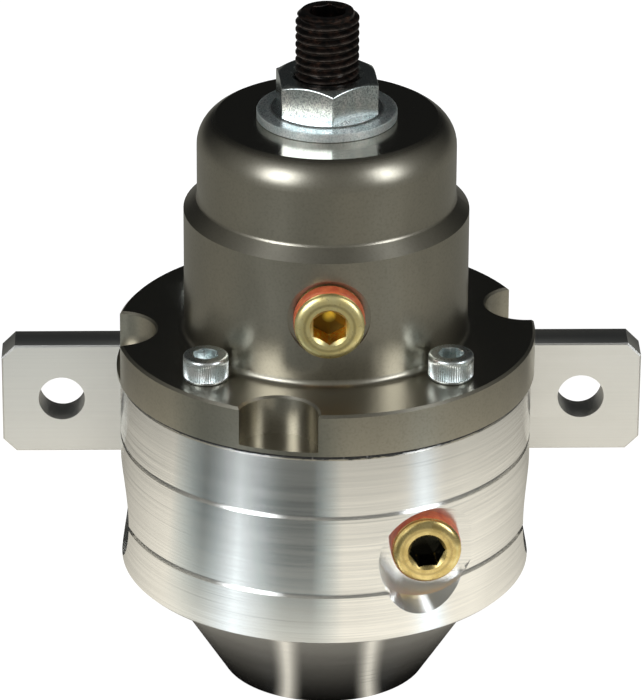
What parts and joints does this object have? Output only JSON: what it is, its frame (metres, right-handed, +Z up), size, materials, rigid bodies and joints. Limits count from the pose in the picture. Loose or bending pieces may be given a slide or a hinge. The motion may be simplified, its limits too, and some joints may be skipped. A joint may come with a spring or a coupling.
{
  "type": "fuel pressure regulator",
  "caption": "Return-style fuel pressure regulator: turned aluminium body with a cone foot, dark stepped bonnet, adjusting screw with lock nut, plugged ports and a flat bracket bar.",
  "frame": {"origin": "centre of the return port's mouth, in the flat bottom face of the body's cone", "axes": "+Z up along the adjusting screw, -Y the front with the boost port, +X to the right seen from the front; the side ports face +X and -X and the bracket bar's back faces +Y"},
  "size_m": [0.1048, 0.0661, 0.1115],
  "materials": {
    "billet_aluminium": "bright turned, fine circular tool lines",
    "bar_aluminium": "brushed along its length",
    "dark_anodised": "charcoal anodised, satin",
    "plain_aluminium": "turned",
    "zinc_steel": "bright zinc plated",
    "black_steel": "black oxide, lightly oiled",
    "spring_steel": "drawn wire",
    "plated_brass": "yellow passivated, bright",
    "seat_brass": "turned",
    "coated_fabric": "fabric reinforced rubber, matt",
    "seal_rubber": "matt"
  },
  "bodies": {
    "root": {"body": "billet_aluminium", "bonnet": "dark_anodised", "diaphragm": "coated_fabric", "valve_seat": "seat_brass", "seat_oring": "seal_rubber", "spring": "spring_steel", "boost_port_plug": "plated_brass", "gauge_port_plug": "plated_brass", "cover_screw_1": "zinc_steel", "cover_screw_2": "zinc_steel", "cover_screw_3": "zinc_steel", "cover_screw_4": "zinc_steel", "bracket": "bar_aluminium", "bracket_screw_1": "black_steel", "bracket_screw_2": "black_steel"},
    "valve": {"spring_cup": "plain_aluminium", "lower_plate": "plain_aluminium", "valve_stem": "zinc_steel", "stem_nut": "zinc_steel", "valve_pad": "seal_rubber"},
    "button": {"spring_button": "zinc_steel"},
    "screw": {"adjusting_screw": "black_steel"},
    "seal": {"nut_seal": "seal_rubber"},
    "nut": {"lock_nut": "zinc_steel"}
  },
  "joints": [
    {"name": "valve_lift", "type": "slide", "parent": "root", "child": "valve", "axis": [0, 0, 1], "range_m": [0, 0.0015], "stiffness_N_per_m": 20000, "deforming": ["diaphragm", "spring"]},
    {"name": "screw_travel", "type": "slide", "parent": "root", "child": "button", "axis": [0, 0, 1], "range_m": [-0.00375, 0.00375], "deforming": ["spring"]},
    {"name": "screw_turn", "type": "hinge", "parent": "button", "child": "screw", "pos_m": [0, 0, 0.095], "axis": [0, 0, 1], "range_deg": [-1080, 1080]},
    {"name": "nut_travel", "type": "slide", "parent": "root", "child": "seal", "axis": [0, 0, 1], "range_m": [0, 0.003]},
    {"name": "nut_turn", "type": "hinge", "parent": "seal", "child": "nut", "pos_m": [0, 0, 0.098], "axis": [0, 0, 1], "range_deg": [0, 864]}
  ],
  "couplings": [
    {"joint": "screw_turn", "follows": "screw_travel", "rad_per_m": 5026.5},
    {"joint": "nut_turn", "follows": "nut_travel", "rad_per_m": 5026.5}
  ]
}
